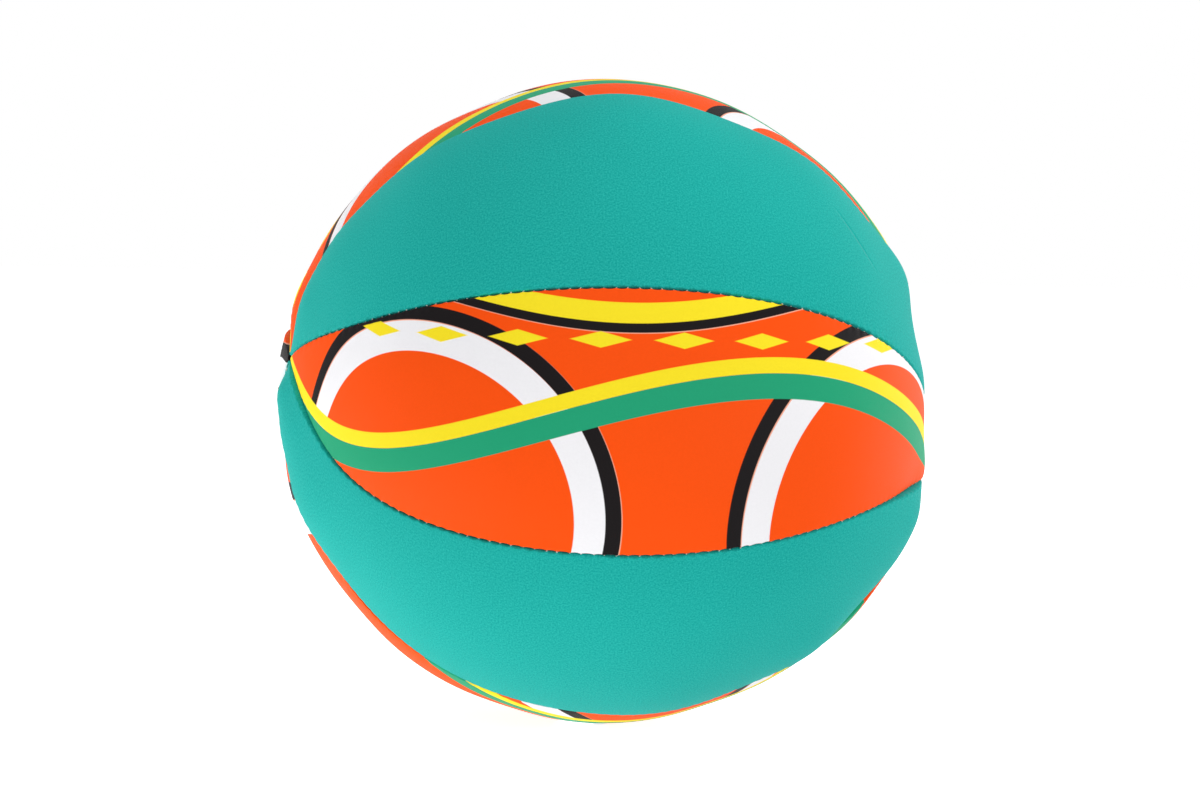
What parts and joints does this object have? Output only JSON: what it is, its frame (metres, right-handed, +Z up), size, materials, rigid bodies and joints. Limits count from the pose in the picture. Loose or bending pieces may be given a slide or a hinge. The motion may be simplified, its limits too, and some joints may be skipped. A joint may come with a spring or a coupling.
{
  "type": "basketball",
  "caption": "Soft play basketball sewn from cloth-faced foam gores over an inflated rubber bladder, with a needle valve at the back.",
  "frame": {"origin": "centre of the ball", "axes": "+X out through the right-hand tips of the gores, -Y through the middle of the front gore, +Z up, and the valve faces +Y"},
  "size_m": [0.2198, 0.2195, 0.22],
  "materials": {
    "print_cloth": "printed knit, slight sheen",
    "teal_cloth": "fine knit, matte",
    "thread": "spun polyester thread",
    "bladder_rubber": "satin",
    "patch_cloth": "woven, matte",
    "valve_rubber": "satin"
  },
  "bodies": {
    "root": {"print_panel_1": "print_cloth", "print_panel_2": "print_cloth", "print_panel_3": "print_cloth", "print_panel_4": "print_cloth", "teal_panel_1": "teal_cloth", "teal_panel_2": "teal_cloth", "teal_panel_3": "teal_cloth", "teal_panel_4": "teal_cloth", "seam_thread_1": "thread", "seam_thread_2": "thread", "seam_thread_3": "thread", "seam_thread_4": "thread", "seam_thread_5": "thread", "seam_thread_6": "thread", "seam_thread_7": "thread", "seam_thread_8": "thread", "tip_tack_left": "thread", "tip_tack_right": "thread", "bladder": "bladder_rubber", "valve_patch": "patch_cloth", "valve_housing": "valve_rubber", "valve_core": "valve_rubber"}
  },
  "joints": []
}
